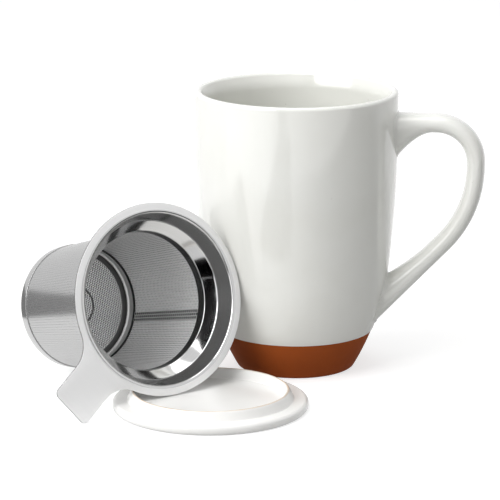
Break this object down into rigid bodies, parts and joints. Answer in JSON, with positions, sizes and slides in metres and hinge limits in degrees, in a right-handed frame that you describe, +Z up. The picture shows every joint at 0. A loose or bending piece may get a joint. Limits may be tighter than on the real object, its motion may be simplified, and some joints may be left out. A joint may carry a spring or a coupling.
{
  "type": "lidded tea mug with infuser",
  "caption": "Tall ceramic tea mug with a loop handle, its loose lid lying upside down, and a lift-out steel infuser basket with a flat rim and tab leaning in the lid.",
  "frame": {"origin": "centre of the mug's foot, on the surface that the whole set stands on", "axes": "+Z up along the mug's axis, +X on the handle's side (the handle is turned 6 degrees about the mug towards -Y), -Y towards the viewer"},
  "size_m": [0.1918, 0.1463, 0.117],
  "materials": {
    "glaze": "gloss",
    "bare_clay": "matt",
    "lid_glaze": "gloss",
    "satin_steel": "satin",
    "polished_steel": "polished",
    "perforated_steel": "finely perforated"
  },
  "bodies": {
    "mug": {"mug_shell": "glaze", "clay_foot": "bare_clay", "mug_handle": "glaze"},
    "lid": {"lid_plate": "lid_glaze", "lid_ring": "lid_glaze"},
    "infuser": {"rim_plate": "satin_steel", "collar": "polished_steel", "basket_wall": "perforated_steel", "basket_seam": "perforated_steel", "bottom_ring": "polished_steel", "bottom_screen": "perforated_steel"}
  },
  "joints": [
    {"name": "lid_lift", "type": "slide", "parent": "mug", "child": "lid", "axis": [-0.3348, -0.6228, 0.7071], "range_m": [0, 0.12]},
    {"name": "infuser_lift", "type": "slide", "parent": "lid", "child": "infuser", "axis": [-0.4527, -0.5432, 0.7071], "range_m": [0, 0.12]}
  ]
}
